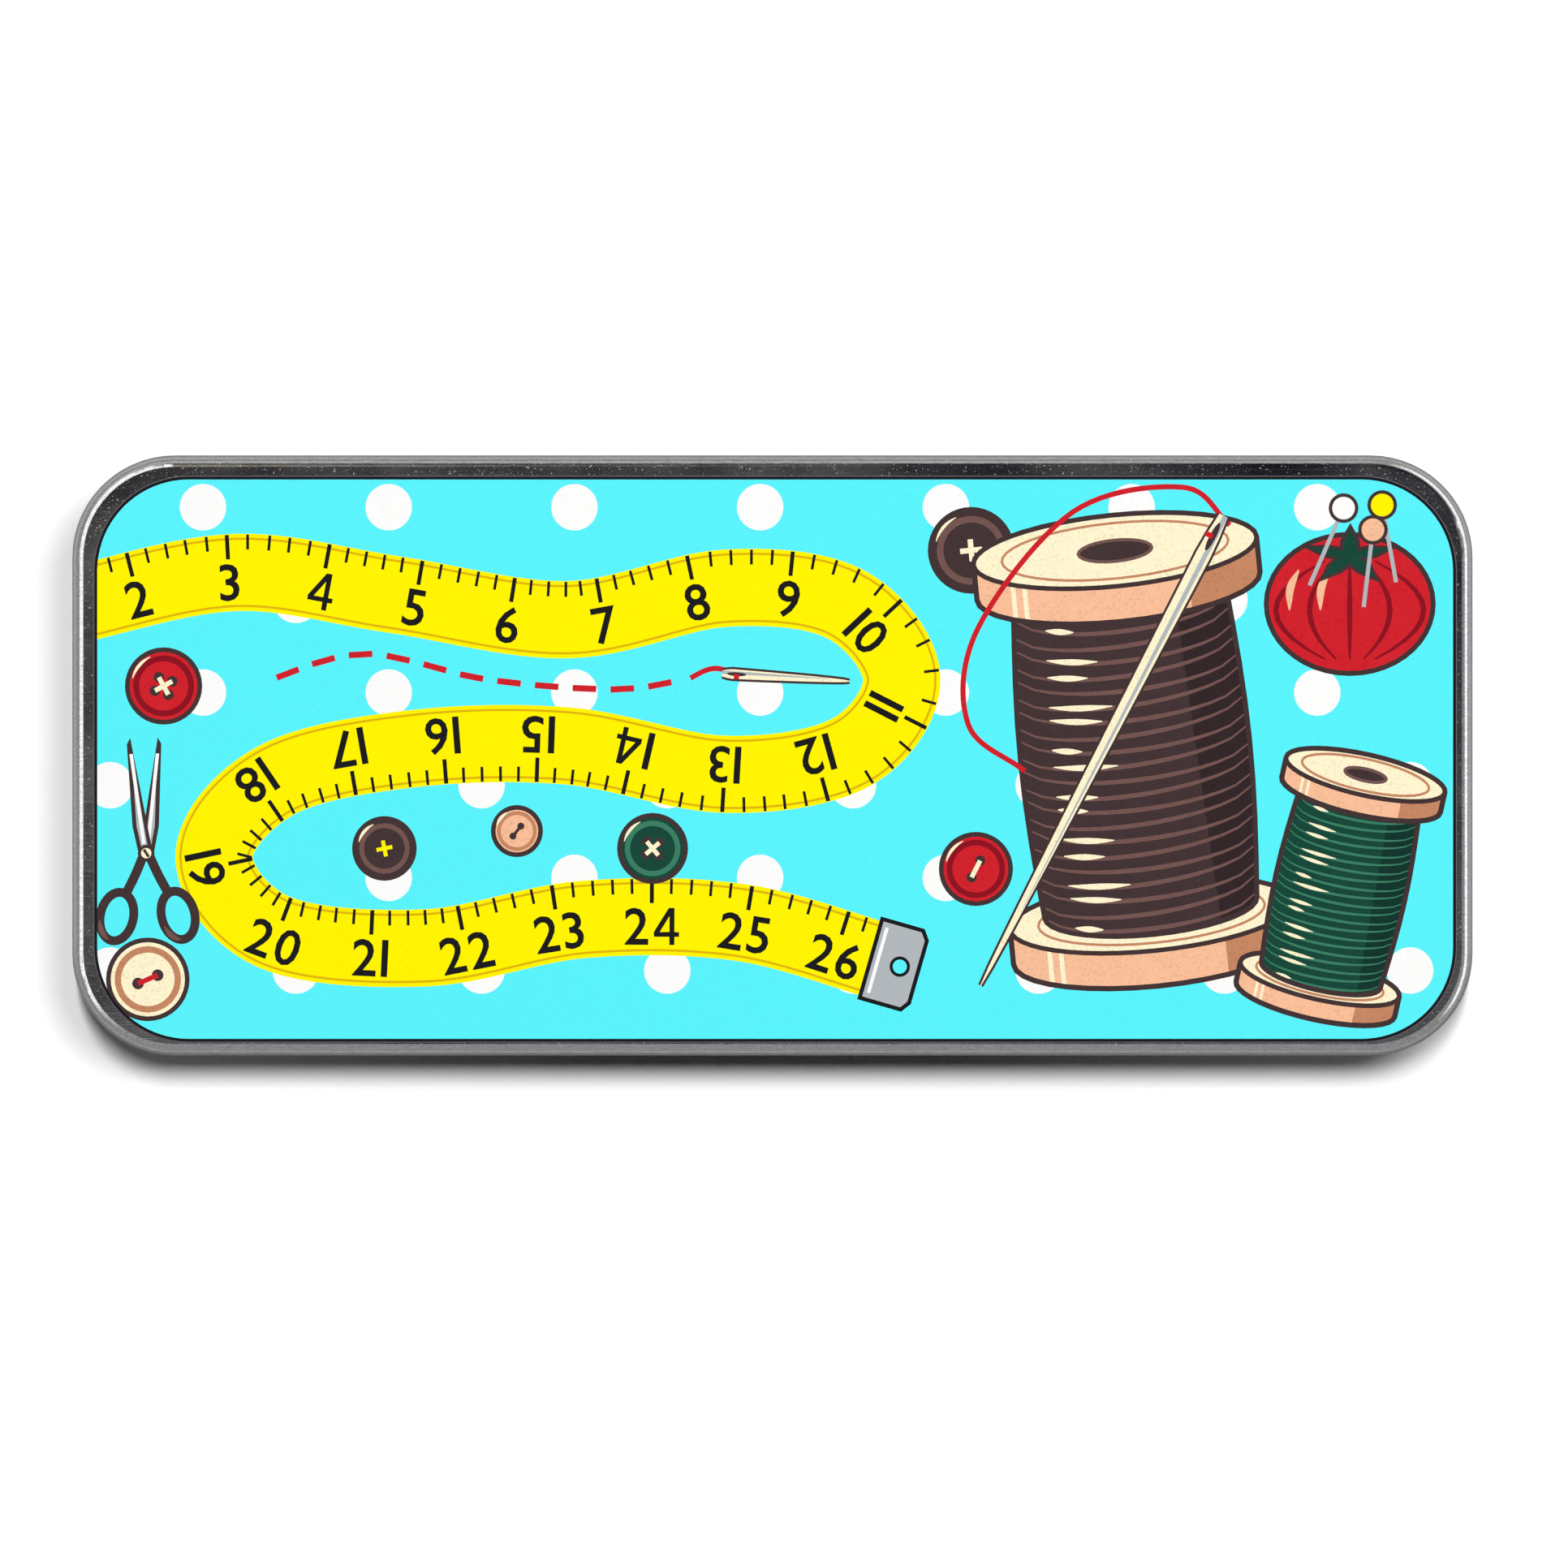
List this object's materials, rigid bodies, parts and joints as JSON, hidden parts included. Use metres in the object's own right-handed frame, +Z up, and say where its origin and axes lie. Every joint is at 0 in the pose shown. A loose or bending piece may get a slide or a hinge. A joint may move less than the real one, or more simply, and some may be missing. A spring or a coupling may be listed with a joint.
{
  "type": "magnetic needle case",
  "caption": "Slim hinged tin with rounded corners and a printed polka-dot label, lined with flexible magnet sheets that hold sewing needles.",
  "frame": {"origin": "middle of the underside of the closed tin, on the surface it stands on", "axes": "+X along the tin's long side, +Y towards the hinge, +Z up through the label"},
  "size_m": [0.0888, 0.0382, 0.0126],
  "materials": {
    "tinplate": "bright tinplate with a fine rolled grain",
    "steel_wire": "drawn wire",
    "flexible_magnet": "matt calendered sheet",
    "adhesive": "thin adhesive film",
    "label_vinyl": "printed, aqua with white polka dots",
    "clear_film": "clear gloss film"
  },
  "bodies": {
    "base": {"base_tray": "tinplate", "hinge_pin_left": "steel_wire", "hinge_pin_right": "steel_wire", "base_magnet_adhesive": "adhesive", "base_magnet_sheet": "flexible_magnet"},
    "lid": {"lid_shell": "tinplate", "lid_magnet_adhesive": "adhesive", "lid_magnet_sheet": "flexible_magnet", "lid_label": "label_vinyl", "label_laminate": "clear_film"}
  },
  "joints": [
    {"name": "lid_hinge", "type": "hinge", "parent": "base", "child": "lid", "pos_m": [0, 0.01843, 0.0065], "axis": [-1, 0, 0], "range_deg": [0, 110]}
  ]
}
